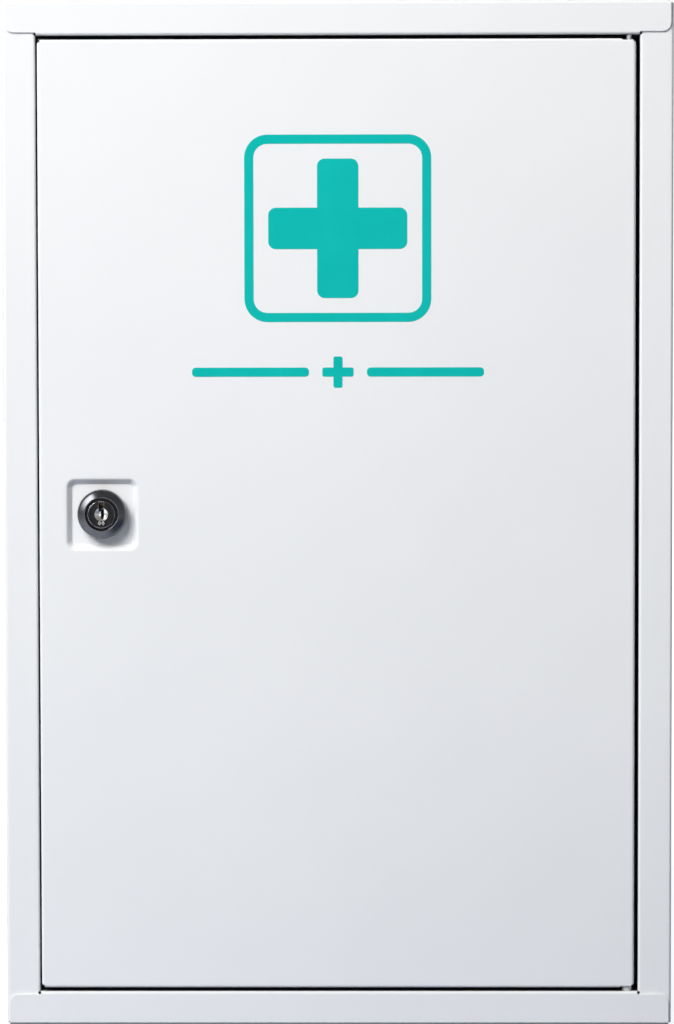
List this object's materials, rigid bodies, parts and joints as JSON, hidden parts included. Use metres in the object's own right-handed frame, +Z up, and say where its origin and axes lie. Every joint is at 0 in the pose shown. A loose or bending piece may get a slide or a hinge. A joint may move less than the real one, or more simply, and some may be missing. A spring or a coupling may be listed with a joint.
{
  "type": "lockable medicine cabinet",
  "caption": "Wall-hung sheet-steel medicine cabinet with a swinging door, cam lock in a square recess, shelves and door trays for storing medicines.",
  "frame": {"origin": "underside of the cabinet, in the middle of the body's width and depth", "axes": "+Z up, +Y from the door into the cabinet towards the wall, +X to the right seen from the front, hinge side"},
  "size_m": [0.3, 0.1456, 0.46],
  "materials": {
    "powder_coat": "satin white powder coat",
    "zinc_steel": "zinc plated",
    "nylon": "natural nylon",
    "bumper_rubber": "matt",
    "black_nickel": "polished black nickel",
    "dark_plug": "turned dark steel with a bright rim",
    "brass": "plain brass",
    "sign_print": "screen printed green"
  },
  "bodies": {
    "cabinet": {"top_panel": "powder_coat", "bottom_panel": "powder_coat", "left_side_panel": "powder_coat", "right_side_panel": "powder_coat", "back_panel": "powder_coat", "upper_shelf": "powder_coat", "lower_shelf": "powder_coat", "upper_left_shelf_bracket": "zinc_steel", "upper_right_shelf_bracket": "zinc_steel", "lower_left_shelf_bracket": "zinc_steel", "lower_right_shelf_bracket": "zinc_steel", "upper_frame_hinge_plate": "zinc_steel", "lower_frame_hinge_plate": "zinc_steel", "upper_hinge_pin": "zinc_steel", "lower_hinge_pin": "zinc_steel", "hinge_collar": "nylon", "upper_door_stop": "zinc_steel", "lower_door_stop": "zinc_steel", "upper_stop_bumper": "bumper_rubber", "lower_stop_bumper": "bumper_rubber"},
    "door": {"door_panel": "powder_coat", "upper_door_tray": "powder_coat", "middle_door_tray": "powder_coat", "lower_door_tray": "powder_coat", "upper_door_hinge_plate": "zinc_steel", "lower_door_hinge_plate": "zinc_steel", "lock_housing": "black_nickel", "lock_nut": "zinc_steel", "lock_washer": "zinc_steel"},
    "lock_core": {"lock_plug": "dark_plug", "lock_wafers": "brass", "lock_cam": "zinc_steel", "cam_washer": "zinc_steel", "cam_screw": "zinc_steel"}
  },
  "joints": [
    {"name": "door_swing", "type": "hinge", "parent": "cabinet", "child": "door", "pos_m": [0.1302, -0.066, 0.23], "axis": [0, 0, 1], "range_deg": [0, 105]},
    {"name": "lock_turn", "type": "hinge", "parent": "door", "child": "lock_core", "pos_m": [-0.106, -0.0676, 0.2312], "axis": [0, 1, 0], "range_deg": [0, 90]}
  ]
}
